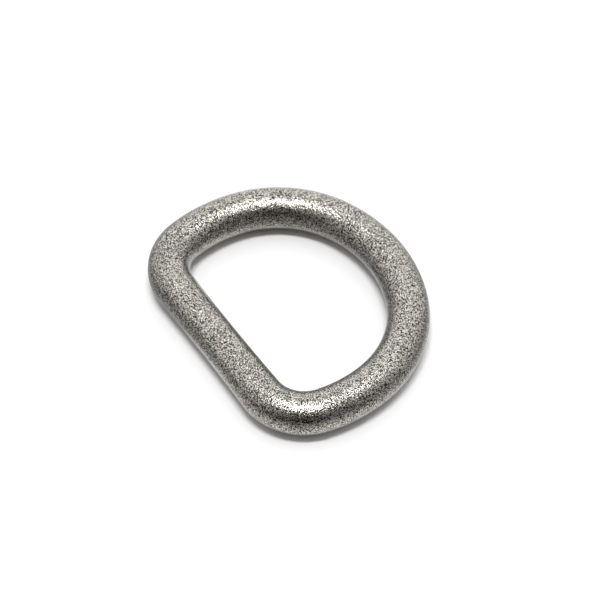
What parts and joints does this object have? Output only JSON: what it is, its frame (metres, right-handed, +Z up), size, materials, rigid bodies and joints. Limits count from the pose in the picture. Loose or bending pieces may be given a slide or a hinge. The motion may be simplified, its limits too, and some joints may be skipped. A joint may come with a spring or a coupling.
{
  "type": "d ring",
  "caption": "Cast metal D ring: a straight bar for a folded strap and a rounded bow for a hook or clip, with an antique silver finish.",
  "frame": {"origin": "middle of the ring's outline, on the surface that it lies on", "axes": "+X along the straight bar, +Y from the bar to the crown of the bow, +Z up out of the ring's plane"},
  "size_m": [0.035, 0.0278, 0.005],
  "materials": {
    "antique_silver": "antique silver plating, tumbled, with a fine dark grain"
  },
  "bodies": {
    "root": {"d_ring": "antique_silver"}
  },
  "joints": []
}
